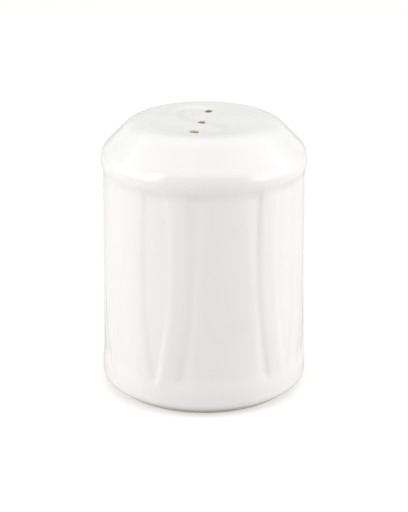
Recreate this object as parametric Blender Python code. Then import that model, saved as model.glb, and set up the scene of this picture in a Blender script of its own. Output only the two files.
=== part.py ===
"""Porcelain salt shaker with a soft stopper in its base.

Metres, +Z up. The origin is the centre of the foot ring's underside, on the axis of the shaker.
Angles round the wall start at the front, at -Y, and grow towards +X.
"""
import math

import bmesh
import bpy

MM = 0.001

# Overall sizes of the body, with the height to its top edge before that is rounded
HEIGHT = 73.0 * MM
WALL_TOP_RADIUS = 26.5 * MM
WALL_FLARE = 0.8 * MM
SHOULDER_OVERHANG = 0.5 * MM

# Dished top and cone shoulder
DISH_DEPTH = 1.25 * MM
DISH_FLAT_RADIUS = 8.0 * MM
CONE_RUN = 8.3 * MM
CONE_DROP = 8.33 * MM
SHOULDER_BAND = 3.1 * MM
UNDERCUT_HEIGHT = 2.0 * MM
DISH_FILLET = 60.0 * MM
TOP_EDGE_FILLET = 6.8 * MM
SHOULDER_FILLET = 4.1 * MM
UNDERCUT_FILLET = 8.0 * MM

# Base and foot ring
BASE_EDGE_FILLET = 2.4 * MM
FOOT_INSET = 3.1 * MM
FOOT_HEIGHT = 1.4 * MM
FOOT_WIDTH = 3.4 * MM
FOOT_EDGE_FILLET = 0.5 * MM
UNDERSIDE_DEPTH = 2.4 * MM
BASE_THICKNESS = 3.6 * MM

# Chamber
WALL_THICKNESS = 3.4 * MM
TOP_THICKNESS = 4.0 * MM
CHAMBER_FLOOR_FILLET = 3.0 * MM
CHAMBER_TOP_FILLET = 3.5 * MM

# Fill hole and pour holes, each of which is a little smaller than the one in front of it
FILL_HOLE_RADIUS = 10.5 * MM
FILL_HOLE_FILLET = 0.5 * MM
POUR_HOLE_RADIUS = 1.0 * MM
POUR_HOLE_CHANGE = 0.14 * MM
POUR_HOLE_PITCH = 9.7 * MM

# Groove in the shape of an S that joins the pour holes, pressed a little off the middle of the top
GROOVE_WIDTH = 3.5 * MM
GROOVE_DEPTH = 0.3 * MM
GROOVE_BAR_RADIUS = 2.2 * MM
GROOVE_TURN = math.radians(-23.4)
GROOVE_PLACE = (-0.5 * MM, 0.8 * MM)

# Relief of the wall
RELIEF_TOP_DROP = 0.4 * MM
RELIEF_TOP_FADE = 3.0 * MM
RELIEF_BOTTOM = 6.7 * MM
RELIEF_BOTTOM_FADE = 4.0 * MM

# Stopper
STOPPER_CLEARANCE = 0.3 * MM
FLANGE_OVERLAP = 2.5 * MM
FLANGE_THICKNESS = 1.3 * MM
NECK_PROJECTION = 2.6 * MM
NECK_WALL = 1.6 * MM
NECK_CAP = 1.4 * MM
SEAL_HEIGHT = 0.5 * MM
SEAL_SETBACK = 0.9 * MM
SEAL_PITCH = 1.8 * MM
SEAL_COUNT = 2
SEAL_TIP_FILLET = 0.15 * MM
GRIP_WIDTH = 2.6 * MM
GRIP_SETBACK = 0.4 * MM
STOPPER_EDGE_FILLET = 0.4 * MM

# Fineness of the meshes, and the most of a straight run that the fillets at its two ends may take
ROW_STEP = 4.0 * MM
STOPPER_SIDES = 48
POUR_HOLE_SIDES = 16
GROOVE_STEPS = 4
SHARP_ANGLE = math.radians(40)
LARGEST_FILLET_SHARE = 0.98

# Planes and radii worked out from the sizes above
DISH_Z = HEIGHT - DISH_DEPTH
SHOULDER_Z = HEIGHT - CONE_DROP
SHOULDER_LOW_Z = SHOULDER_Z - SHOULDER_BAND
WALL_TOP_Z = SHOULDER_LOW_Z - UNDERCUT_HEIGHT
FLOOR_Z = UNDERSIDE_DEPTH + BASE_THICKNESS
SHOULDER_RADIUS = WALL_TOP_RADIUS + SHOULDER_OVERHANG
TOP_EDGE_RADIUS = SHOULDER_RADIUS - CONE_RUN
WALL_BASE_RADIUS = WALL_TOP_RADIUS + WALL_FLARE
FOOT_RADIUS = WALL_BASE_RADIUS - FOOT_INSET
FOOT_INNER_RADIUS = FOOT_RADIUS - FOOT_WIDTH
RELIEF_TOP = SHOULDER_LOW_Z - RELIEF_TOP_DROP

# Head of the S from the first pour hole to the middle one, across and along it in pitches of the holes
GROOVE_HEAD = (
    (0.0, 1.0), (-0.3, 1.07), (-0.59, 1.03), (-0.8, 0.82),
    (-0.82, 0.53), (-0.67, 0.28), (-0.36, 0.11), (0.0, 0.0))

# Relief lines in one quarter of the wall: degrees from the front at the top, middle and bottom
PETAL_SIDE = (7.5, 15.0, 18.0)
FIRST_RIB = (20.0, 18.8, 27.0)
FIRST_RIB_END = (35.3, 33.0, 41.3)
SECOND_RIB = (46.0, 47.3, 40.8)
SECOND_RIB_END = (59.5, 63.0, 54.8)
SIDE_RIB = (63.3, 77.5, 66.2)
SIDE_RIB_END = (81.5, 91.5, 76.9)

# Degrees that the edges of the ribs take to rise, the narrowest leaf, and the least between two columns
RIB_EDGE = 3.0
SOFT_EDGE = 4.0
NARROWEST_LEAF = 2.0
COLUMN_GAP = 0.25

# Depths of the relief below the full wall at the top, middle and bottom, and depths that stay the same
PETAL_DEPTH = (0.05 * MM, 0.05 * MM, 0.4 * MM)
CREASE_DEPTH = (0.6 * MM, 0.3 * MM, 1.0 * MM)
RIB_NEAR_DEPTH = (0.02 * MM, 0.02 * MM, 0.45 * MM)
RIB_FAR_DEPTH = (0.12 * MM, 0.04 * MM, 0.02 * MM)
LEAF_DEPTH = (0.4 * MM, 0.36 * MM, 0.65 * MM)
HOLLOW_DEPTH = (0.24 * MM, 0.28 * MM, 0.6 * MM)
SIDE_DEPTH = (0.22 * MM, 0.26 * MM, 0.6 * MM)
LEAF_SLOPE = 0.014 * MM
LEAF_STEP = 0.3 * MM
SECOND_RIB_DEPTH = 0.25 * MM
SIDE_RIB_DEPTH = 0.12 * MM


def clear_scene():
    """Remove whatever the file holds."""
    for old in list(bpy.data.objects):
        bpy.data.objects.remove(old)


def material(name, colour, roughness, metallic=0.0):
    """A plain Principled material."""
    made = bpy.data.materials.new(name)
    made.use_nodes = True
    shader = made.node_tree.nodes["Principled BSDF"]
    shader.inputs["Base Color"].default_value = (*colour, 1.0)
    shader.inputs["Roughness"].default_value = roughness
    shader.inputs["Metallic"].default_value = metallic
    return made


def smoothstep(x):
    """Rise from 0 at x = 0 to 1 at x = 1 with level ends."""
    x = min(max(x, 0.0), 1.0)
    return x * x * (3.0 - 2.0 * x)


def unit(start, end):
    """Direction from one point of an outline to another."""
    length = math.dist(start, end)
    return (end[0] - start[0]) / length, (end[1] - start[1]) / length


def half_opening(before, corner, after):
    """Half of the angle between the two runs that meet at a corner."""
    back = unit(corner, before)
    ahead = unit(corner, after)
    return math.acos(back[0] * ahead[0] + back[1] * ahead[1]) / 2


def arc_at_corner(before, corner, after, setback, steps):
    """Points of the fillet that starts and ends at a distance from a corner of an outline."""
    half = half_opening(before, corner, after)
    back = unit(corner, before)
    ahead = unit(corner, after)
    middle = unit((0.0, 0.0), (back[0] + ahead[0], back[1] + ahead[1]))
    to_centre = setback / math.cos(half)
    radius = setback * math.tan(half)
    centre = (corner[0] + middle[0] * to_centre, corner[1] + middle[1] * to_centre)
    start = math.atan2(corner[1] + back[1] * setback - centre[1], corner[0] + back[0] * setback - centre[0])
    end = math.atan2(corner[1] + ahead[1] * setback - centre[1], corner[0] + ahead[0] * setback - centre[0])
    turn = math.remainder(end - start, math.tau)
    angles = [start + turn * step / steps for step in range(steps + 1)]
    return [(centre[0] + radius * math.cos(angle), centre[1] + radius * math.sin(angle)) for angle in angles]


def rounded_outline(corners):
    """Points (radius, z) of an outline whose corners are (radius, z, fillet, steps), with sharp ends.

    Two fillets that need more than the run between them share it.
    """
    places = [corner[:2] for corner in corners]
    wanted = [0.0]
    for before, corner, after in zip(places, corners[1:-1], places[2:]):
        wanted.append(corner[2] / math.tan(half_opening(before, corner[:2], after)))
    wanted.append(0.0)
    shares = []
    for index in range(len(places) - 1):
        run = math.dist(places[index], places[index + 1])
        shares.append(min(1.0, LARGEST_FILLET_SHARE * run / (wanted[index] + wanted[index + 1])))
    points = [places[0]]
    for index in range(1, len(places) - 1):
        setback = wanted[index] * min(shares[index - 1], shares[index])
        points += arc_at_corner(*places[index - 1:index + 2], setback, corners[index][3])
    points.append(places[-1])
    return points


def split_long_runs(points, longest):
    """Add points so that no run of an outline is longer than the given length."""
    split = [points[0]]
    for start, end in zip(points, points[1:]):
        parts = math.ceil(math.dist(start, end) / longest)
        for part in range(1, parts + 1):
            share = part / parts
            split.append((start[0] + share * (end[0] - start[0]), start[1] + share * (end[1] - start[1])))
    return split


def meeting_point(a, b, c, d):
    """Where the line through a and b meets the line through c and d."""
    ab = (b[0] - a[0], b[1] - a[1])
    cd = (d[0] - c[0], d[1] - c[1])
    share = ((c[0] - a[0]) * cd[1] - (c[1] - a[1]) * cd[0]) / (ab[0] * cd[1] - ab[1] * cd[0])
    return (a[0] + share * ab[0], a[1] + share * ab[1])


def moved_inwards(start, end, distance):
    """A run of the outer outline, drawn downwards, moved towards the axis by a wall's thickness."""
    run = (end[0] - start[0], end[1] - start[1])
    length = math.hypot(*run)
    shift = (run[1] / length * distance, -run[0] / length * distance)
    return (start[0] + shift[0], start[1] + shift[1]), (end[0] + shift[0], end[1] + shift[1])


def body_outline():
    """Two outlines of the porcelain: down the outside, then under the base and up round the chamber."""
    top_edge = (TOP_EDGE_RADIUS, HEIGHT)
    shoulder = (SHOULDER_RADIUS, SHOULDER_Z)
    wall_top = (WALL_TOP_RADIUS, WALL_TOP_Z)
    wall_base = (WALL_BASE_RADIUS, FOOT_HEIGHT)
    foot_out = (FOOT_RADIUS, 0.0)
    outside = rounded_outline([
        (0.0, DISH_Z),
        (DISH_FLAT_RADIUS, DISH_Z, DISH_FILLET, 2),
        (*top_edge, TOP_EDGE_FILLET, 5),
        (*shoulder, SHOULDER_FILLET, 5),
        (SHOULDER_RADIUS, SHOULDER_LOW_Z, UNDERCUT_FILLET, 2),
        (*wall_top, UNDERCUT_FILLET, 2),
        (*wall_base, BASE_EDGE_FILLET, 5),
        (FOOT_RADIUS, FOOT_HEIGHT),
    ])
    outside = split_long_runs(outside, ROW_STEP)
    inner_wall = moved_inwards(wall_top, wall_base, WALL_THICKNESS)
    inner_cone = moved_inwards(top_edge, shoulder, WALL_THICKNESS)
    roof = ((0.0, DISH_Z - TOP_THICKNESS), (TOP_EDGE_RADIUS, DISH_Z - TOP_THICKNESS))
    floor = ((0.0, FLOOR_Z), (WALL_BASE_RADIUS, FLOOR_Z))
    inside = rounded_outline([
        (FOOT_RADIUS, FOOT_HEIGHT),
        (*foot_out, FOOT_EDGE_FILLET, 1),
        (FOOT_INNER_RADIUS, 0.0, FOOT_EDGE_FILLET, 1),
        (FOOT_INNER_RADIUS, UNDERSIDE_DEPTH, FOOT_EDGE_FILLET, 1),
        (FILL_HOLE_RADIUS, UNDERSIDE_DEPTH, FILL_HOLE_FILLET, 1),
        (FILL_HOLE_RADIUS, FLOOR_Z, FILL_HOLE_FILLET, 1),
        (*meeting_point(*floor, *inner_wall), CHAMBER_FLOOR_FILLET, 3),
        (*meeting_point(*inner_wall, *inner_cone), CHAMBER_TOP_FILLET, 2),
        (*meeting_point(*inner_cone, *roof), CHAMBER_TOP_FILLET, 2),
        roof[0],
    ])
    return outside, inside[1:]


def along(line, z):
    """Value of a relief line at a height: a parabola through its top, middle and bottom."""
    share = (z - RELIEF_BOTTOM) / (RELIEF_TOP - RELIEF_BOTTOM)
    share = min(max(share, 0.0), 1.0)
    top, middle, bottom = line
    bow = 4.0 * share * (1.0 - share)
    return bottom + share * (top - bottom) + bow * (middle - (top + bottom) / 2)


def halfway(start, end):
    """The middle of a run of the wall's section."""
    return (start[0] + end[0]) / 2, (start[1] + end[1]) / 2


def relief_section(z):
    """Angles and depths of the wall's section in one quarter at a height.

    From the front: the petal, a crease, the first rib, a sunk leaf that slopes away, the broad second rib, a
    shallow hollow and the side rib.
    """
    leaf_start = along(FIRST_RIB_END, z)
    leaf_end = max(along(SECOND_RIB, z), leaf_start + NARROWEST_LEAF)
    leaf_depth = along(LEAF_DEPTH, z)
    leaf_low = leaf_depth + LEAF_SLOPE * (leaf_end - leaf_start)
    front = (0.0, along(PETAL_DEPTH, z))
    petal = (along(PETAL_SIDE, z), along(PETAL_DEPTH, z))
    crease = (along(FIRST_RIB, z), along(CREASE_DEPTH, z))
    rib_near = (along(FIRST_RIB, z) + RIB_EDGE, along(RIB_NEAR_DEPTH, z))
    rib_far = (leaf_start - RIB_EDGE, along(RIB_FAR_DEPTH, z))
    leaf_near = (leaf_start, leaf_depth)
    leaf_far = (leaf_end, leaf_low)
    broad_near = (leaf_end + RIB_EDGE, leaf_low - LEAF_STEP)
    broad_far = (along(SECOND_RIB_END, z) - SOFT_EDGE, SECOND_RIB_DEPTH)
    hollow_near = (along(SECOND_RIB_END, z), along(HOLLOW_DEPTH, z))
    hollow_far = (along(SIDE_RIB, z), along(HOLLOW_DEPTH, z))
    side_near = (along(SIDE_RIB, z) + SOFT_EDGE, SIDE_RIB_DEPTH)
    side_far = (along(SIDE_RIB_END, z) - SOFT_EDGE, SIDE_RIB_DEPTH)
    side = (along(SIDE_RIB_END, z), along(SIDE_DEPTH, z))
    return [
        front, halfway(front, petal), petal, halfway(petal, crease), crease,
        rib_near, halfway(rib_near, rib_far), rib_far,
        leaf_near, halfway(leaf_near, leaf_far), leaf_far,
        broad_near, halfway(broad_near, broad_far), broad_far,
        hollow_near, hollow_far,
        side_near, halfway(side_near, side_far), side_far,
        side, (90.0, along(SIDE_DEPTH, z)),
    ]


def in_order(wanted):
    """Angles of a quarter's columns, kept apart and inside the quarter."""
    last = len(wanted) - 1
    columns = []
    for index, angle in enumerate(wanted):
        lowest = columns[-1] + COLUMN_GAP if columns else 0.0
        columns.append(min(max(angle, lowest), 90.0 - (last - index) * COLUMN_GAP))
    return columns


def all_round(quarter, mirrored):
    """Values of a whole turn from those of a quarter, which the wall repeats mirrored and turned."""
    half = quarter + [mirrored(value) for value in reversed(quarter[:-1])]
    return half[:-1]


def wall_columns(z):
    """Angles and relief depths of all columns at a height, evenly spaced on the plain top and base."""
    into_relief = smoothstep((z - FOOT_HEIGHT) / (RELIEF_BOTTOM - FOOT_HEIGHT))
    into_relief *= smoothstep((SHOULDER_Z - z) / (SHOULDER_Z - RELIEF_TOP))
    section = relief_section(z)
    columns = in_order([angle for angle, _ in section])
    even = [90.0 * index / (len(columns) - 1) for index in range(len(columns))]
    quarter = [level + into_relief * (angle - level) for level, angle in zip(even, columns)]
    fade = smoothstep((z - RELIEF_BOTTOM) / RELIEF_BOTTOM_FADE)
    fade *= smoothstep((RELIEF_TOP - z) / RELIEF_TOP_FADE)
    depths = all_round([depth * fade for _, depth in section], lambda depth: depth)
    angles = all_round(quarter, lambda angle: 180.0 - angle)
    return angles + [angle + 180.0 for angle in angles], depths + depths


def ring_at(z, angles, radii):
    """Points at a height, at angles in degrees from the front."""
    turns = [math.radians(angle) for angle in angles]
    return [(radius * math.sin(turn), -radius * math.cos(turn), z) for turn, radius in zip(turns, radii)]


def skin(name, rings, first_pole, last_pole, finish):
    """A closed mesh object over rings of points, with a point at each end of the axis."""
    mesh = bpy.data.meshes.new(name)
    build = bmesh.new()
    loops = [[build.verts.new(point) for point in ring] for ring in rings]
    first = build.verts.new(first_pole)
    last = build.verts.new(last_pole)
    count = len(loops[0])
    for index in range(count):
        after = (index + 1) % count
        build.faces.new((first, loops[0][index], loops[0][after]))
        build.faces.new((last, loops[-1][after], loops[-1][index]))
        for upper, lower in zip(loops, loops[1:]):
            build.faces.new((upper[index], lower[index], lower[after], upper[after]))
    build.to_mesh(mesh)
    build.free()
    mesh.shade_smooth()
    mesh.set_sharp_from_angle(angle=SHARP_ANGLE)
    mesh.materials.append(finish)
    made = bpy.data.objects.new(name, mesh)
    bpy.context.collection.objects.link(made)
    return made


def hide_cutter(cutter):
    """Keep a cutter out of the model."""
    cutter.hide_render = True
    cutter.display_type = "WIRE"


def cut(target, cutter):
    """Take a cutter out of a piece."""
    step = target.modifiers.new(cutter.name, "BOOLEAN")
    step.operation = "DIFFERENCE"
    step.object = cutter


def dish_height(x, y):
    """Height of the dished top at a place, on the straight runs of its outline."""
    slope = DISH_DEPTH / (TOP_EDGE_RADIUS - DISH_FLAT_RADIUS)
    return DISH_Z + max(math.hypot(x, y) - DISH_FLAT_RADIUS, 0.0) * slope


def on_top(across, along):
    """A place on the top from the S groove's own axes: across to its right, along to its head."""
    x = across * math.cos(GROOVE_TURN) - along * math.sin(GROOVE_TURN)
    y = across * math.sin(GROOVE_TURN) + along * math.cos(GROOVE_TURN)
    return x + GROOVE_PLACE[0], y + GROOVE_PLACE[1]


def groove_cutter():
    """A flattened bar bent along the S, which sinks into the top by the groove's depth over its width."""
    data = bpy.data.curves.new("s_groove_cutter", "CURVE")
    data.dimensions = "3D"
    data.bevel_depth = GROOVE_BAR_RADIUS
    data.bevel_resolution = 3
    data.resolution_u = GROOVE_STEPS
    data.use_fill_caps = True
    path = list(GROOVE_HEAD) + [(-across, -along) for across, along in reversed(GROOVE_HEAD[:-1])]
    spline = data.splines.new("BEZIER")
    spline.bezier_points.add(len(path) - 1)
    for point, (across, along) in zip(spline.bezier_points, path):
        point.co = (*on_top(across * POUR_HOLE_PITCH, along * POUR_HOLE_PITCH), 0.0)
        point.handle_left_type = "AUTO"
        point.handle_right_type = "AUTO"
    curve = bpy.data.objects.new("s_groove_curve", data)
    bpy.context.collection.objects.link(curve)
    mesh = bpy.data.meshes.new_from_object(curve.evaluated_get(bpy.context.evaluated_depsgraph_get()))
    bpy.data.objects.remove(curve)
    dry_share = math.sqrt(1.0 - (GROOVE_WIDTH / 2 / GROOVE_BAR_RADIUS) ** 2)
    half_height = GROOVE_DEPTH / (1.0 - dry_share)
    for point in mesh.vertices:
        x, y, z = point.co
        point.co.z = dish_height(x, y) + half_height * (dry_share + z / GROOVE_BAR_RADIUS)
    cutter = bpy.data.objects.new("s_groove_cutter", mesh)
    bpy.context.collection.objects.link(cutter)
    hide_cutter(cutter)
    return cutter


def pour_hole_cutter(index):
    """A round bar through the top, on the line of the three pour holes."""
    place = on_top(0.0, index * POUR_HOLE_PITCH)
    radius = POUR_HOLE_RADIUS - index * POUR_HOLE_CHANGE
    bpy.ops.mesh.primitive_cylinder_add(
        vertices=POUR_HOLE_SIDES, radius=radius, depth=4 * TOP_THICKNESS, location=(*place, DISH_Z))
    cutter = bpy.context.object
    cutter.name = f"pour_hole_cutter_{index + 2}"
    hide_cutter(cutter)
    return cutter


def make_body():
    """The porcelain shell with its relief, S groove, pour holes and fill hole."""
    porcelain = material("glazed_porcelain", (0.87, 0.86, 0.84), 0.12)
    outside, inside = body_outline()
    rings = []
    for radius, z in outside[1:]:
        angles, depths = wall_columns(z)
        rings.append(ring_at(z, angles, [radius - depth for depth in depths]))
    count = len(rings[0])
    even = [360.0 * index / count for index in range(count)]
    rings += [ring_at(z, even, [radius] * count) for radius, z in inside[:-1]]
    body = skin("shaker_body", rings, (0.0, 0.0, outside[0][1]), (0.0, 0.0, inside[-1][1]), porcelain)
    cut(body, groove_cutter())
    for index in (-1, 0, 1):
        cut(body, pour_hole_cutter(index))
    return body


def make_stopper():
    """The soft plug: flange under the base, ringed neck in the fill hole, hollow below with a grip bar."""
    soft = material("soft_stopper", (0.72, 0.72, 0.69), 0.45)
    flange_top = UNDERSIDE_DEPTH - STOPPER_CLEARANCE
    flange_low = flange_top - FLANGE_THICKNESS
    neck_top = FLOOR_Z + NECK_PROJECTION
    seal_radius = FILL_HOLE_RADIUS - STOPPER_CLEARANCE
    neck_radius = seal_radius - SEAL_HEIGHT
    hollow_radius = neck_radius - NECK_WALL
    hollow_top = neck_top - NECK_CAP
    flange_radius = FILL_HOLE_RADIUS + FLANGE_OVERLAP
    corners = [(0.0, neck_top), (neck_radius, neck_top, STOPPER_EDGE_FILLET, 2)]
    for index in range(SEAL_COUNT):
        seal_z = neck_top - SEAL_SETBACK - SEAL_HEIGHT - index * SEAL_PITCH
        corners.append((neck_radius, seal_z + SEAL_HEIGHT, STOPPER_EDGE_FILLET, 1))
        corners.append((seal_radius, seal_z, SEAL_TIP_FILLET, 1))
        corners.append((neck_radius, seal_z - SEAL_HEIGHT, STOPPER_EDGE_FILLET, 1))
    corners += [
        (neck_radius, flange_top, STOPPER_EDGE_FILLET, 2),
        (flange_radius, flange_top, STOPPER_EDGE_FILLET, 2),
        (flange_radius, flange_low, STOPPER_EDGE_FILLET, 2),
        (hollow_radius, flange_low, STOPPER_EDGE_FILLET, 2),
        (hollow_radius, hollow_top, STOPPER_EDGE_FILLET, 2),
        (0.0, hollow_top),
    ]
    outline = rounded_outline(corners)
    even = [360.0 * side / STOPPER_SIDES for side in range(STOPPER_SIDES)]
    rings = [ring_at(z, even, [radius] * STOPPER_SIDES) for radius, z in outline[1:-1]]
    stopper = skin("base_stopper", rings, (0.0, 0.0, neck_top), (0.0, 0.0, hollow_top), soft)
    bar_low = flange_low + GRIP_SETBACK
    bar_top = neck_top - NECK_CAP / 2
    bar_length = 2 * (hollow_radius + NECK_WALL / 2)
    bpy.ops.mesh.primitive_cube_add(size=1.0, location=(0.0, 0.0, (bar_low + bar_top) / 2))
    bar = bpy.context.object
    bar.name = "grip_bar_tool"
    bar.scale = (GRIP_WIDTH, bar_length, bar_top - bar_low)
    hide_cutter(bar)
    join = stopper.modifiers.new("grip_bar", "BOOLEAN")
    join.operation = "UNION"
    join.object = bar
    return stopper


clear_scene()
make_body()
make_stopper()
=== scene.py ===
import math

import bpy
import numpy as np
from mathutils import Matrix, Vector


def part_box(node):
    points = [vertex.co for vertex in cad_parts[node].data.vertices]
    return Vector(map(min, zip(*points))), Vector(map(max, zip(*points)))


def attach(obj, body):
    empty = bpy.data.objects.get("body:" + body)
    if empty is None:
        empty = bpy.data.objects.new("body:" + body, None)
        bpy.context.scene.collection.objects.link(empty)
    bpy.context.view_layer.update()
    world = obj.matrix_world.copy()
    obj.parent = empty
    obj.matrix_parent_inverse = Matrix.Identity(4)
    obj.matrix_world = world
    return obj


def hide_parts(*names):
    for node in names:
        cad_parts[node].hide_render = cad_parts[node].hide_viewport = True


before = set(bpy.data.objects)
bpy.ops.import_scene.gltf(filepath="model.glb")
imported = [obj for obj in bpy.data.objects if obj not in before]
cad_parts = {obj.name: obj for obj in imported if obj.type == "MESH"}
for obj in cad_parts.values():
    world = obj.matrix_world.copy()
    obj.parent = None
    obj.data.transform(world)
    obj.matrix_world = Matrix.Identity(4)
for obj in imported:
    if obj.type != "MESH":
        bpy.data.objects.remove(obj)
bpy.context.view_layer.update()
MM = 0.001

# Porcelain shell
# The shaker is one slip-cast shell of white porcelain: dished top, cone shoulder, wall, base and foot ring.
# It is turned from its section, then the wall is pressed in between its ribs and the top gets its groove.
BODY_LOW, BODY_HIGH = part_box("shaker_body")
TOP_EDGE_Z = BODY_HIGH.z + 0.35 * MM
DISH_Z = TOP_EDGE_Z - 1.25 * MM
SHOULDER_Z = TOP_EDGE_Z - 8.33 * MM
SHOULDER_LOW_Z = SHOULDER_Z - 3.1 * MM
WALL_TOP_Z = SHOULDER_LOW_Z - 2.0 * MM
DISH_FLAT_RADIUS = 8.0 * MM
TOP_EDGE_RADIUS = 18.7 * MM
SHOULDER_RADIUS = 27.0 * MM
WALL_TOP_RADIUS = 26.5 * MM
WALL_BASE_RADIUS = 27.3 * MM
WALL_THICKNESS = 3.4 * MM
TOP_THICKNESS = 4.0 * MM
ROOF_Z = DISH_Z - TOP_THICKNESS
FOOT_HEIGHT = 1.4 * MM
FOOT_RADIUS = 24.2 * MM
FOOT_INNER_RADIUS = 20.8 * MM
UNDERSIDE_Z = 2.4 * MM
FLOOR_Z = 6.0 * MM
FILL_HOLE_RADIUS = 10.5 * MM
SPIN_STEPS = 304

# Corners of the section: radius, height, length of each side of the rounding, its segments, and the points on
# the run that follows.
BODY_SECTION = [
    (0.0, DISH_Z, 0.0, 0, 18),
    (DISH_FLAT_RADIUS, DISH_Z, 3.4 * MM, 24, 15),
    (TOP_EDGE_RADIUS, TOP_EDGE_Z, 3.3 * MM, 12, 8),
    (SHOULDER_RADIUS - 0.12 * MM, SHOULDER_Z, 1.7 * MM, 10, 1),
    (SHOULDER_RADIUS + 0.08 * MM, SHOULDER_LOW_Z, 0.95 * MM, 4, 0),
    (WALL_TOP_RADIUS, WALL_TOP_Z, 1.0 * MM, 4, 58),
    (WALL_BASE_RADIUS, FOOT_HEIGHT, 2.35 * MM, 12, 1),
    (FOOT_RADIUS, FOOT_HEIGHT, 0.15 * MM, 2, 2),
    (FOOT_RADIUS, 0.0, 0.5 * MM, 4, 3),
    (FOOT_INNER_RADIUS, 0.0, 0.5 * MM, 4, 3),
    (FOOT_INNER_RADIUS, UNDERSIDE_Z, 0.6 * MM, 4, 6),
    (FILL_HOLE_RADIUS, UNDERSIDE_Z, 0.5 * MM, 4, 2),
    (FILL_HOLE_RADIUS, FLOOR_Z, 0.5 * MM, 4, 6),
    (WALL_BASE_RADIUS - WALL_THICKNESS, FLOOR_Z, 3.0 * MM, 5, 12),
    (WALL_TOP_RADIUS - WALL_THICKNESS, SHOULDER_Z - 1.0 * MM, 1.5 * MM, 4, 2),
    (TOP_EDGE_RADIUS + 0.4 * MM, ROOF_Z, 1.4 * MM, 4, 6),
    (0.0, ROOF_Z, 0.0, 0, 0),
]


def select_points(piece, wanted):
    """Select the points of a piece that a test picks, in edit mode."""
    bpy.ops.object.mode_set(mode="EDIT")
    bpy.ops.mesh.select_mode(type="VERT")
    bpy.ops.mesh.select_all(action="DESELECT")
    bpy.ops.object.mode_set(mode="OBJECT")
    for point in piece.data.vertices:
        point.select = wanted(point.co)
    bpy.ops.object.mode_set(mode="EDIT")


def turned(name, section, steps):
    """Draw half of a section as a chain of points, round its corners and spin it about the shaker's axis."""
    bpy.ops.object.select_all(action="DESELECT")
    bpy.ops.mesh.primitive_plane_add(size=MM)
    piece = bpy.context.object
    piece.name = name
    bpy.ops.object.mode_set(mode="EDIT")
    bpy.ops.mesh.merge(type="CENTER")
    bpy.ops.transform.translate(value=(0.0, -section[0][0], section[0][1]))
    for corner, after in zip(section, section[1:]):
        run = (after[0] - corner[0], after[1] - corner[1])
        length = math.hypot(*run)
        gaps = corner[4] + 1
        free = length - corner[2] - after[2]
        stops = [0.0] + [corner[2] + free * (gap + 0.5) / gaps for gap in range(corner[4])] + [length]
        for before, stop in zip(stops, stops[1:]):
            share = (stop - before) / length
            move = (0.0, -run[0] * share, run[1] * share)
            bpy.ops.mesh.extrude_region_move(TRANSFORM_OT_translate={"value": move})
    for radius, height, rounding, segments, _ in section:
        if segments:
            select_points(piece, lambda co: abs(co.y + radius) + abs(co.z - height) < 1e-6)
            bpy.ops.mesh.bevel(offset=rounding, segments=segments, affect="VERTICES")
    bpy.ops.mesh.select_all(action="SELECT")
    bpy.ops.mesh.spin(steps=steps, angle=math.tau, center=(0.0, 0.0, 0.0), axis=(0.0, 0.0, 1.0))
    bpy.ops.mesh.select_all(action="SELECT")
    bpy.ops.mesh.remove_doubles(threshold=1e-7)
    bpy.ops.mesh.normals_make_consistent(inside=False)
    bpy.ops.object.mode_set(mode="OBJECT")
    return piece


body = turned("porcelain_shell", BODY_SECTION, SPIN_STEPS)

# The relief: a wide petal at the front and back, then a narrow rib, a sunk leaf that slopes away from the
# front, a broad rib and a bowed rib at the side. A quarter of the wall holds it all and the others mirror it.
# Three values belong to the top, middle and bottom: degrees from the front, or depths below the full wall.
RELIEF_TOP = SHOULDER_LOW_Z - 0.4 * MM
RELIEF_TOP_FADE = 3.0 * MM
RELIEF_BOTTOM = 6.7 * MM
RELIEF_BOTTOM_FADE = 4.0 * MM
PETAL_SIDE = (7.5, 15.0, 18.0)
FIRST_RIB = (20.0, 18.8, 27.0)
FIRST_RIB_END = (35.3, 33.0, 41.3)
SECOND_RIB = (46.0, 47.3, 40.8)
SECOND_RIB_END = (59.5, 63.0, 54.8)
SIDE_RIB = (63.3, 77.5, 66.2)
SIDE_RIB_END = (81.5, 91.5, 76.9)
HOLLOW_DEPTH = (0.24 * MM, 0.28 * MM, 0.6 * MM)
SIDE_DEPTH = (0.22 * MM, 0.26 * MM, 0.6 * MM)
PETAL_DEPTH = (0.05 * MM, 0.05 * MM, 0.4 * MM)
CREASE_DEPTH = (0.6 * MM, 0.3 * MM, 1.0 * MM)
RIB_NEAR_DEPTH = (0.02 * MM, 0.02 * MM, 0.45 * MM)
RIB_FAR_DEPTH = (0.12 * MM, 0.04 * MM, 0.02 * MM)
LEAF_DEPTH = (0.4 * MM, 0.36 * MM, 0.65 * MM)
LEAF_SLOPE = 0.014 * MM
LEAF_STEP = 0.3 * MM
SECOND_RIB_DEPTH = 0.25 * MM
SIDE_RIB_DEPTH = 0.12 * MM
SOFT_EDGE = 4.0
SOFTENING = 1.0
COLUMN_GAP = 0.25


def smoothstep(x):
    """Rise from 0 at x = 0 to 1 at x = 1 with level ends."""
    x = min(max(x, 0.0), 1.0)
    return x * x * (3.0 - 2.0 * x)


def along(line, z):
    """Value of a line at a height, on a parabola through its top, middle and bottom."""
    share = min(max((z - RELIEF_BOTTOM) / (RELIEF_TOP - RELIEF_BOTTOM), 0.0), 1.0)
    top, middle, bottom = line
    return bottom + share * (top - bottom) + 4.0 * share * (1.0 - share) * (middle - (top + bottom) / 2)


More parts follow.
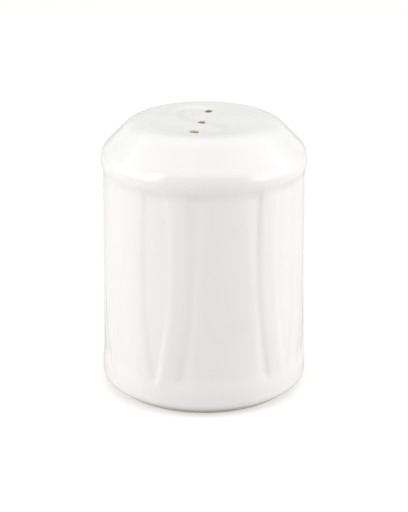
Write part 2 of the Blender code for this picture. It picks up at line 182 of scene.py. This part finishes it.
def wall_section(z):
    """Angles and depths of the corners of the wall's section in a quarter at a height."""
    rib = along(FIRST_RIB, z)
    leaf = along(FIRST_RIB_END, z)
    broad = max(along(SECOND_RIB, z), leaf + 2.0)
    broad_end = along(SECOND_RIB_END, z)
    side = along(SIDE_RIB, z)
    side_end = along(SIDE_RIB_END, z)
    petal_side = along(PETAL_SIDE, z)
    petal_low = along(PETAL_DEPTH, z)
    crease = along(CREASE_DEPTH, z)
    leaf_high = along(LEAF_DEPTH, z)
    leaf_low = leaf_high + LEAF_SLOPE * (broad - leaf)
    corners = [
        (0.0, petal_low),
        (petal_side, petal_low),
        (rib - 0.5, crease),
        (rib + 3.0, along(RIB_NEAR_DEPTH, z)),
        (leaf - 2.5, along(RIB_FAR_DEPTH, z)),
        (leaf + 0.2, leaf_high),
        (leaf + 0.4 * (broad - leaf), leaf_high + 0.7 * (leaf_low - leaf_high)),
        (broad - 0.5, leaf_low),
        (broad + 2.5, leaf_low - LEAF_STEP),
        (broad_end - SOFT_EDGE, SECOND_RIB_DEPTH),
        (broad_end, along(HOLLOW_DEPTH, z)),
        (side, along(HOLLOW_DEPTH, z)),
        (side + SOFT_EDGE, SIDE_RIB_DEPTH),
        (side_end - SOFT_EDGE, SIDE_RIB_DEPTH),
        (side_end, along(SIDE_DEPTH, z)),
        (90.0, along(SIDE_DEPTH, z)),
    ]
    angles = []
    for index, (angle, _) in enumerate(corners):
        lowest = angles[-1] + COLUMN_GAP if angles else 0.0
        highest = 90.0 - (len(corners) - 1 - index) * COLUMN_GAP
        angles.append(min(max(angle, lowest), highest))
    return angles, [depth for _, depth in corners]


def press_wall(piece):
    """Draw the wall's columns along the lines of the relief and press the wall in between its crests."""
    sections = {}
    for point in piece.data.vertices:
        radius = math.hypot(point.co.x, point.co.y)
        z = point.co.z
        if radius < WALL_TOP_RADIUS - WALL_THICKNESS / 2 or not FOOT_HEIGHT < z < SHOULDER_Z:
            continue
        height = round(z, 7)
        if height not in sections:
            sections[height] = wall_section(z)
        columns, depths = sections[height]
        turn = math.degrees(math.atan2(point.co.x, -point.co.y))
        quarter = min(abs(turn), 180.0 - abs(turn))
        drawn = np.interp(quarter, np.linspace(0.0, 90.0, len(columns)), columns)
        hold = smoothstep((z - FOOT_HEIGHT) / (RELIEF_BOTTOM - FOOT_HEIGHT))
        hold *= smoothstep((SHOULDER_Z - z) / (SHOULDER_Z - RELIEF_TOP))
        angle = quarter + hold * (drawn - quarter)
        soft = np.interp([angle - SOFTENING, angle, angle + SOFTENING], columns, depths).mean()
        fade = smoothstep((z - RELIEF_BOTTOM) / RELIEF_BOTTOM_FADE)
        fade *= smoothstep((RELIEF_TOP - z) / RELIEF_TOP_FADE)
        radius -= soft * fade
        turn = math.copysign(angle if abs(turn) <= 90.0 else 180.0 - angle, turn)
        point.co.x = radius * math.sin(math.radians(turn))
        point.co.y = -radius * math.cos(math.radians(turn))


press_wall(body)

# The groove on the top is an S that joins the three pour holes, at its head, its middle and its tail, and is
# soft edged where the glaze has filled it. Its head is given across and along it, in pitches of the holes.
POUR_HOLE_RADIUS = 1.0 * MM
POUR_HOLE_PITCH = 9.7 * MM
GROOVE_HEAD = [
    (0.0, 1.0), (-0.26, 1.05), (-0.52, 1.0), (-0.7, 0.81),
    (-0.72, 0.54), (-0.59, 0.29), (-0.32, 0.12), (0.0, 0.0),
]
GROOVE_DEPTH = 0.3 * MM
GROOVE_REACH = 2.5 * MM
GROOVE_TURN = math.radians(-23.4)
GROOVE_PLACE = (-0.5 * MM, 0.8 * MM)
GROOVE_STEPS = 8
DISH_SLOPE = (TOP_EDGE_Z - DISH_Z) / (TOP_EDGE_RADIUS - DISH_FLAT_RADIUS)


def on_top(across, along):
    """A place on the top from the S's own axes: across to its right, along to its head."""
    x = across * math.cos(GROOVE_TURN) - along * math.sin(GROOVE_TURN)
    y = across * math.sin(GROOVE_TURN) + along * math.cos(GROOVE_TURN)
    return x + GROOVE_PLACE[0], y + GROOVE_PLACE[1]


def groove_path():
    """Places along the S, on a smooth curve through its given points."""
    given = GROOVE_HEAD + [(-across, -along) for across, along in reversed(GROOVE_HEAD[:-1])]
    places = np.array([on_top(across * POUR_HOLE_PITCH, along * POUR_HOLE_PITCH) for across, along in given])
    places = np.vstack([places[:1], places, places[-1:]])
    path = []
    for before, start, end, after in zip(places, places[1:], places[2:], places[3:]):
        for share in np.arange(GROOVE_STEPS) / GROOVE_STEPS:
            bend = (2 * before - 5 * start + 4 * end - after) * share
            bend += (3 * start - before - 3 * end + after) * share ** 2
            path.append(start + ((end - before) + bend) * share / 2)
    return np.array(path + [places[-1]])


def press_groove(piece):
    """Press the S into the dished top."""
    path = groove_path()
    # The groove's depth is kept to grey the glaze there: painted shade of the hollow, with a little pooled
    # glaze.
    painted_shade_and_pool = piece.data.attributes.new("groove_shade_and_pool", "FLOAT", "POINT")
    for point in piece.data.vertices:
        if point.co.z < DISH_Z - MM or math.hypot(point.co.x, point.co.y) > TOP_EDGE_RADIUS:
            continue
        near = np.hypot(path[:, 0] - point.co.x, path[:, 1] - point.co.y).min()
        depth = smoothstep(1.0 - near / GROOVE_REACH)
        point.co.z -= GROOVE_DEPTH * depth
        painted_shade_and_pool.data[point.index].value = depth


press_groove(body)

# Pour holes: drilled through the top while the clay is soft, each a little smaller than the one before it.
# The glaze has rounded their rims and left bare clay inside.
HOLE_RIM = 0.05 * MM
HOLE_CHANGE = 0.09 * MM
HOLE_SPARE = 2.0 * MM
HOLE_STEPS = 40


def colour(code):
    """Linear colour of an sRGB hex value."""
    levels = [int(code[place:place + 2], 16) / 255 for place in (1, 3, 5)]
    linear = [level / 12.92 if level < 0.04045 else ((level + 0.055) / 1.055) ** 2.4 for level in levels]
    return linear + [1.0]


def add_node(material, kind, inputs, **settings):
    """A node of a material with its settings, its values and its links."""
    made = material.node_tree.nodes.new(kind)
    for name, value in settings.items():
        setattr(made, name, value)
    for name, value in inputs.items():
        if isinstance(value, bpy.types.NodeSocket):
            material.node_tree.links.new(value, made.inputs[name])
        else:
            made.inputs[name].default_value = value
    return made


def new_material(name):
    """An empty node material."""
    material = bpy.data.materials.new(name)
    material.use_nodes = True
    material.node_tree.nodes.clear()
    return material


def noise(material, place, size, detail):
    """A noise pattern with features of a given size."""
    inputs = {"Vector": place, "Scale": 1 / size, "Detail": detail}
    return add_node(material, "ShaderNodeTexNoise", inputs).outputs["Fac"]


def blend(material, factor, first, second):
    """A colour between two colours."""
    inputs = {0: factor, 6: first, 7: second}
    return add_node(material, "ShaderNodeMix", inputs, data_type="RGBA").outputs[2]


def ramp(material, value, start, end, at_start, at_end):
    """A value that runs from one level to another while its input runs from start to end."""
    inputs = {"Value": value, "From Min": start, "From Max": end, "To Min": at_start, "To Max": at_end}
    return add_node(material, "ShaderNodeMapRange", inputs).outputs["Result"]


def bump(material, height, depth, strength, normal=None):
    """A bumped normal of a given depth, over another normal where one is given."""
    inputs = {"Height": height, "Distance": depth, "Strength": strength}
    if normal:
        inputs["Normal"] = normal
    return add_node(material, "ShaderNodeBump", inputs).outputs["Normal"]


def glazed_porcelain():
    """White porcelain under a clear glossy glaze, bare and matt where the foot ring was wiped.

    The glaze is glass smooth with a faint long wave. It is a little greyer in the groove: painted shade of
    the hollow, partly pooled glaze. It has a few specks.
    """
    made = new_material("glazed_porcelain")
    place = add_node(made, "ShaderNodeTexCoord", {}).outputs["Object"]
    cloud = noise(made, place, 16 * MM, 2.0)
    grit = noise(made, place, 0.5 * MM, 4.0)
    white = blend(made, cloud, colour("#F2F1F0"), colour("#EEEDEC"))
    # Painted shade: the glaze turns greyer with the groove's depth, partly for glaze pooled there.
    painted_shade_and_pool = add_node(made, "ShaderNodeAttribute", {}, attribute_name="groove_shade_and_pool").outputs["Fac"]
    painted_groove_shade = ramp(made, painted_shade_and_pool, 0.0, 1.0, 0.0, 0.35)
    glaze = blend(made, painted_groove_shade, white, colour("#E4E2E1"))
    cells = add_node(made, "ShaderNodeTexVoronoi", {"Vector": place, "Scale": 1 / (6.5 * MM)})
    speck = ramp(made, cells.outputs["Distance"], 0.014, 0.024, 0.5, 0.0)
    specked = blend(made, speck, glaze, colour("#8E8478"))
    height = add_node(made, "ShaderNodeSeparateXYZ", {"Vector": place}).outputs["Z"]
    wiped = ramp(made, grit, 0.0, 1.0, 0.35 * MM, 0.85 * MM)
    above = add_node(made, "ShaderNodeMath", {0: height, 1: wiped}, operation="SUBTRACT").outputs[0]
    bare = ramp(made, above, 0.0, 0.12 * MM, 1.0, 0.0)
    biscuit = blend(made, grit, colour("#DDD5C8"), colour("#E9E3D8"))
    gloss = ramp(made, cloud, 0.0, 1.0, 0.07, 0.13)
    rough = add_node(made, "ShaderNodeMath", {0: bare, 1: 0.5, 2: gloss}, operation="MULTIPLY_ADD").outputs[0]
    skin = bump(made, noise(made, place, 5 * MM, 1.0), 0.02 * MM, 1.0)
    shader = add_node(made, "ShaderNodeBsdfPrincipled", {
        "Base Color": blend(made, bare, specked, biscuit), "Roughness": rough, "IOR": 1.52,
        "Normal": bump(made, grit, 0.03 * MM, bare, skin)})
    add_node(made, "ShaderNodeOutputMaterial", {"Surface": shader.outputs["BSDF"]})
    return made


def stained_clay():
    """Bare clay in the pour holes, stained brown in patches by salt and damp."""
    made = new_material("stained_clay")
    place = add_node(made, "ShaderNodeTexCoord", {}).outputs["Object"]
    stain = noise(made, place, 0.6 * MM, 3.0)
    shader = add_node(made, "ShaderNodeBsdfPrincipled", {
        "Base Color": blend(made, stain, colour("#B09E8A"), colour("#CEC2B4")),
        "Roughness": ramp(made, stain, 0.3, 0.7, 0.55, 0.75),
        "Normal": bump(made, stain, 0.03 * MM, 1.0)})
    add_node(made, "ShaderNodeOutputMaterial", {"Surface": shader.outputs["BSDF"]})
    return made


def drill_pour_holes(piece):
    """Cut the three holes with flared pins set square on the bottom of the groove."""
    pins = []
    for index in (-1, 0, 1):
        radius = POUR_HOLE_RADIUS - HOLE_CHANGE * index
        pin_section = [
            (0.0, HOLE_SPARE, 0.0, 0, 0),
            (radius + HOLE_RIM + HOLE_SPARE, HOLE_SPARE, 0.0, 0, 0),
            (radius, -HOLE_RIM, HOLE_RIM, 4, 0),
            (radius, -TOP_THICKNESS - HOLE_SPARE, 0.0, 0, 0),
            (0.0, -TOP_THICKNESS - HOLE_SPARE, 0.0, 0, 0),
        ]
        pin = turned(f"pour_hole_pin_{index + 2}", pin_section, HOLE_STEPS)
        x, y = on_top(0.0, index * POUR_HOLE_PITCH)
        rise = max(math.hypot(x, y) - DISH_FLAT_RADIUS, 0.0) * DISH_SLOPE
        pin.location = (x, y, DISH_Z + rise - GROOVE_DEPTH)
        lean = math.atan(DISH_SLOPE) * index
        pin.rotation_euler = (lean * math.cos(GROOVE_TURN), lean * math.sin(GROOVE_TURN), 0.0)
        bpy.ops.object.transform_apply(location=True, rotation=True, scale=False)
        pins.append(pin)
    bpy.ops.object.select_all(action="DESELECT")
    for pin in pins:
        pin.select_set(True)
    bpy.context.view_layer.objects.active = pins[0]
    bpy.ops.object.join()
    bpy.ops.object.select_all(action="DESELECT")
    piece.select_set(True)
    bpy.context.view_layer.objects.active = piece
    pins[0].data.materials.clear()
    for material in (glazed_porcelain(), stained_clay()):
        piece.data.materials.append(material)
        pins[0].data.materials.append(material)
    for face in pins[0].data.polygons:
        face.material_index = int(abs(face.normal.z) < 0.85)
    cut = piece.modifiers.new("pour_holes", "BOOLEAN")
    cut.object = pins[0]
    bpy.ops.object.modifier_apply(modifier=cut.name)
    bpy.data.objects.remove(pins[0])


drill_pour_holes(body)
bpy.ops.object.shade_smooth_by_angle(angle=math.radians(50))
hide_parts("shaker_body")
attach(body, "shaker")

# Base stopper
# A soft milky PVC plug that closes the filling hole, moulded in one piece: flange, hollow neck with two seal
# rings, and a bar across the hollow to pull it by. It is pushed in and held by its rings alone.
STOPPER_LOW, STOPPER_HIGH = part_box("base_stopper")
NECK_TOP = STOPPER_HIGH.z
FLANGE_LOW = STOPPER_LOW.z
FLANGE_TOP = UNDERSIDE_Z - 0.3 * MM
FLANGE_RADIUS = 13.0 * MM
NECK_RADIUS = 9.7 * MM
SEAL_RADIUS = 10.2 * MM
SEAL_HEIGHTS = (7.2 * MM, 5.4 * MM)
HOLLOW_RADIUS = 8.1 * MM
HOLLOW_TOP = NECK_TOP - 1.4 * MM
BAR_WIDTH = 2.6 * MM
BAR_LOW = FLANGE_LOW + 0.4 * MM
BAR_ROUND = 0.6 * MM
STOPPER_STEPS = 144
STOPPER_SECTION = [
    (0.0, NECK_TOP, 0.0, 0, 5),
    (NECK_RADIUS, NECK_TOP, 0.5 * MM, 4, 0),
]
for seal_z in SEAL_HEIGHTS:
    STOPPER_SECTION += [
        (NECK_RADIUS, seal_z + 0.5 * MM, 0.12 * MM, 2, 0),
        (SEAL_RADIUS, seal_z, 0.1 * MM, 4, 0),
        (NECK_RADIUS, seal_z - 0.5 * MM, 0.12 * MM, 2, 0),
    ]
STOPPER_SECTION += [
    (NECK_RADIUS, FLANGE_TOP, 0.3 * MM, 3, 2),
    (FLANGE_RADIUS, FLANGE_TOP, 0.4 * MM, 4, 0),
    (FLANGE_RADIUS, FLANGE_LOW, 0.4 * MM, 4, 3),
    (HOLLOW_RADIUS, FLANGE_LOW, 0.4 * MM, 4, 5),
    (HOLLOW_RADIUS, HOLLOW_TOP, 0.6 * MM, 4, 5),
    (0.0, HOLLOW_TOP, 0.0, 0, 0),
]
stopper = turned("soft_stopper", STOPPER_SECTION, STOPPER_STEPS)


def add_pull_bar(piece):
    """Set the bar across the hollow, with its lower edges rounded for the finger tips, and weld it in."""
    top = (NECK_TOP + HOLLOW_TOP) / 2
    length = HOLLOW_RADIUS + NECK_RADIUS
    bpy.ops.object.select_all(action="DESELECT")
    bpy.ops.mesh.primitive_cube_add(size=1.0, location=(0.0, 0.0, (top + BAR_LOW) / 2),
                                    scale=(BAR_WIDTH, length, top - BAR_LOW))
    bar = bpy.context.object
    bpy.ops.object.transform_apply(location=True, rotation=False, scale=True)
    select_points(bar, lambda co: co.z < BAR_LOW + BAR_ROUND)
    bpy.ops.mesh.bevel(offset=BAR_ROUND, segments=5, affect="EDGES")
    bpy.ops.object.mode_set(mode="OBJECT")
    bpy.ops.object.select_all(action="DESELECT")
    piece.select_set(True)
    bpy.context.view_layer.objects.active = piece
    weld = piece.modifiers.new("pull_bar", "BOOLEAN")
    weld.operation = "UNION"
    weld.object = bar
    bpy.ops.object.modifier_apply(modifier=weld.name)
    bpy.data.objects.remove(bar)


add_pull_bar(stopper)
bpy.ops.object.shade_smooth_by_angle(angle=math.radians(40))


def soft_pvc():
    """Milky soft PVC with a silky skin: light sinks in a little, and the mould has left a fine grain."""
    made = new_material("soft_pvc")
    place = add_node(made, "ShaderNodeTexCoord", {}).outputs["Object"]
    cloud = noise(made, place, 6 * MM, 2.0)
    grain = noise(made, place, 0.25 * MM, 3.0)
    shader = add_node(made, "ShaderNodeBsdfPrincipled", {
        "Base Color": blend(made, cloud, colour("#DAD9D1"), colour("#E2E1DA")),
        "Roughness": ramp(made, grain, 0.3, 0.7, 0.36, 0.48),
        "IOR": 1.53,
        "Subsurface Weight": 0.25,
        "Subsurface Radius": (1.0, 0.95, 0.85),
        "Subsurface Scale": 1.2 * MM,
        "Normal": bump(made, grain, 0.012 * MM, 1.0)})
    add_node(made, "ShaderNodeOutputMaterial", {"Surface": shader.outputs["BSDF"]})
    return made


stopper.data.materials.clear()
stopper.data.materials.append(soft_pvc())
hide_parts("base_stopper")
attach(stopper, "stopper")

# Floor
# A sheet of white paper under and behind the shaker, seen as plain white.
# It keeps the shaker's soft shadow.
FLOOR_SIZE = 6.0
bpy.ops.object.select_all(action="DESELECT")
bpy.ops.mesh.primitive_plane_add(size=FLOOR_SIZE)
floor = bpy.context.object
floor.name = "paper_floor"
paper = new_material("white_paper")
ray = add_node(paper, "ShaderNodeLightPath", {})
lift = add_node(paper, "ShaderNodeMath", {0: ray.outputs["Is Camera Ray"], 1: 0.39}, operation="MULTIPLY")
sheet = add_node(paper, "ShaderNodeBsdfDiffuse", {"Color": colour("#DAD8D5")})
glow = add_node(paper, "ShaderNodeEmission", {"Color": colour("#FFFFFF"), "Strength": lift.outputs[0]})
both = add_node(paper, "ShaderNodeAddShader", {0: sheet.outputs["BSDF"], 1: glow.outputs["Emission"]})
add_node(paper, "ShaderNodeOutputMaterial", {"Surface": both.outputs["Shader"]})
floor.data.materials.append(paper)

# Light
# Soft boxes stand left and right of the shaker, each over a brighter low strip, with panels above, and a pale
# room fills in. The side towards the camera stays a little darker, which shows the ribs.
CAMERA_AZIMUTH = math.radians(-12.4)
LIGHT_AIM = (BODY_LOW + BODY_HIGH) / 2
SIDE_TINT = "#FDFEFF"


def soft_box(name, azimuth, elevation, distance, width, tall, radiance, tint="#FFFFFF"):
    """A rectangular lamp at an azimuth from the camera's side, turned to the shaker's middle."""
    lamp = bpy.data.lights.new(name, "AREA")
    lamp.shape = "RECTANGLE"
    lamp.size = width
    lamp.size_y = tall
    lamp.energy = radiance * math.pi * width * tall
    lamp.color = colour(tint)[:3]
    holder = bpy.data.objects.new(name, lamp)
    bpy.context.scene.collection.objects.link(holder)
    turn = CAMERA_AZIMUTH + math.radians(azimuth)
    rise = math.radians(elevation)
    level = distance * math.cos(rise)
    away = LIGHT_AIM.copy()
    away.x, away.y, away.z = level * math.sin(turn), -level * math.cos(turn), distance * math.sin(rise)
    holder.location = LIGHT_AIM + away
    holder.rotation_euler = away.to_track_quat("Z", "Y").to_euler()


soft_box("left_strip", -84.0, 10.0, 0.75, 0.75, 0.3, 2.1, SIDE_TINT)
soft_box("left_box", -84.0, 22.0, 0.75, 0.8, 0.6, 0.86, SIDE_TINT)
soft_box("left_front_strip", -58.0, 24.0, 0.75, 0.2, 0.6, 2.5, SIDE_TINT)
soft_box("right_strip", 84.0, 10.0, 0.75, 0.75, 0.3, 1.98, SIDE_TINT)
soft_box("right_box", 84.0, 22.0, 0.75, 0.8, 0.6, 0.91, SIDE_TINT)
soft_box("right_front_strip", 58.0, 24.0, 0.75, 0.2, 0.6, 0.75, SIDE_TINT)
soft_box("right_tall_box", 88.0, 34.0, 0.75, 0.9, 1.1, 0.31)
soft_box("top_panel", 180.0, 88.0, 0.7, 1.45, 1.45, 0.44)
soft_box("top_box", 180.0, 75.0, 0.7, 0.5, 0.5, 0.3)
soft_box("front_box", 0.0, 60.0, 0.75, 1.0, 0.4, 0.34)
soft_box("back_box", 180.0, 12.0, 0.8, 1.1, 0.3, 0.28)
world = bpy.data.worlds.new("pale_room")
world.use_nodes = True
bpy.context.scene.world = world
room = world.node_tree
room.nodes["Background"].inputs["Color"].default_value = (1.0, 1.0, 1.0, 1.0)
room.nodes["Background"].inputs["Strength"].default_value = 0.38

# Camera
# A long lens a little above the shaker, as in the photograph.
CAMERA_DISTANCE = 490.7 * MM
CAMERA_ELEVATION = math.radians(20.46)
CAMERA_AIM_Z = 34.74 * MM
FOCAL_PIXELS = 1843.0
PICTURE_HEIGHT = 512
lens = bpy.data.cameras.new("camera")
lens.sensor_width = 36.0
lens.lens = 36.0 * FOCAL_PIXELS / PICTURE_HEIGHT
camera = bpy.data.objects.new("camera", lens)
bpy.context.scene.collection.objects.link(camera)
level = CAMERA_DISTANCE * math.cos(CAMERA_ELEVATION)
camera.location = (level * math.sin(CAMERA_AZIMUTH), -level * math.cos(CAMERA_AZIMUTH),
                   CAMERA_AIM_Z + CAMERA_DISTANCE * math.sin(CAMERA_ELEVATION))
camera.rotation_euler = (math.pi / 2 - CAMERA_ELEVATION, 0.0, CAMERA_AZIMUTH)
bpy.context.scene.camera = camera
bpy.context.scene.view_settings.view_transform = "Standard"
